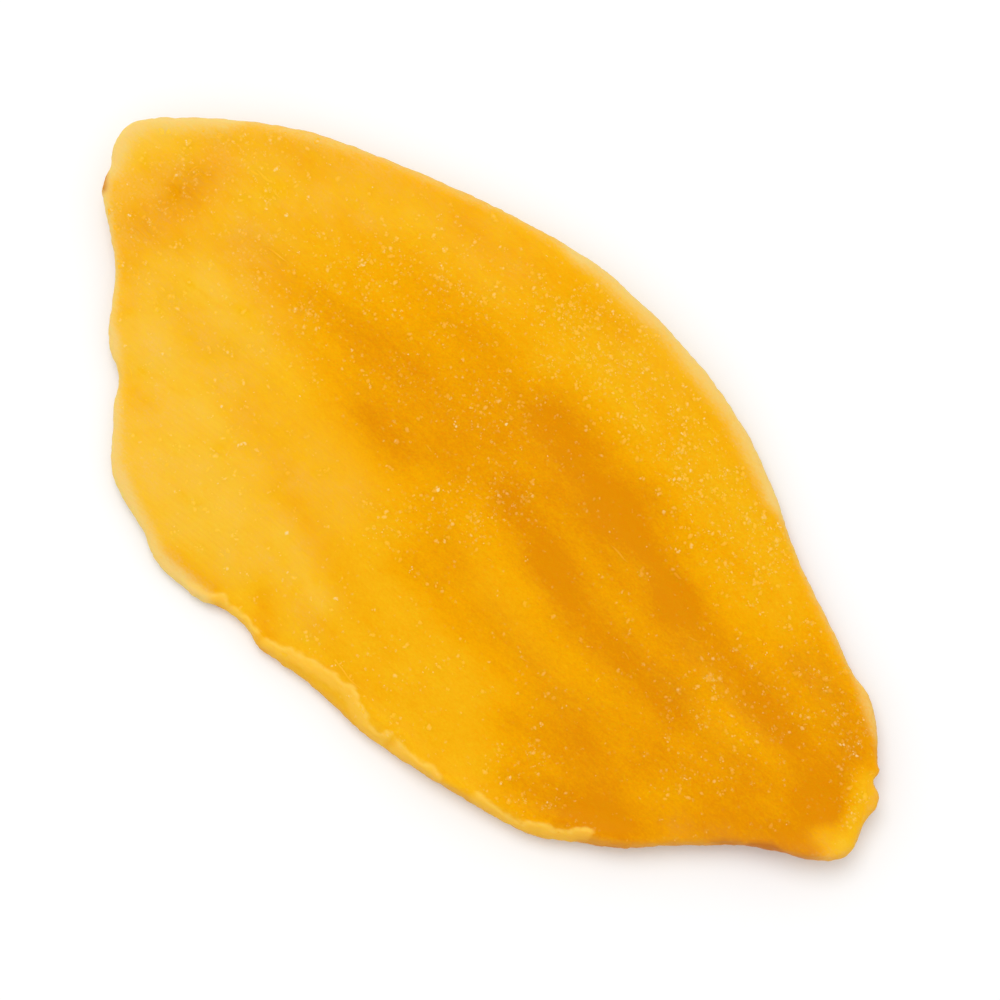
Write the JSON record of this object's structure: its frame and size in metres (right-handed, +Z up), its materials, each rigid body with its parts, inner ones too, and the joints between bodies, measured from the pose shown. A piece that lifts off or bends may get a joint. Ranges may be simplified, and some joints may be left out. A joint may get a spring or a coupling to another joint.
{
  "type": "dried mango slice",
  "caption": "Leathery lengthwise slice of dried mango, rounded back, blunt cut edge with a curled lip, thin pale rims, lying flat.",
  "frame": {"origin": "under the middle of the slice's box, on the surface that it lies on", "axes": "+X along the slice from its stem end to its narrow tip, +Y towards the rounded back edge, +Z up"},
  "size_m": [0.103, 0.0526, 0.005],
  "materials": {
    "flesh": "leathery dried fruit flesh, slightly see-through at the thin rims, soft satin sheen",
    "sugar": "fine dried sugar grains, pale and slightly see-through"
  },
  "bodies": {
    "root": {"mango_slice": "flesh"}
  },
  "joints": []
}
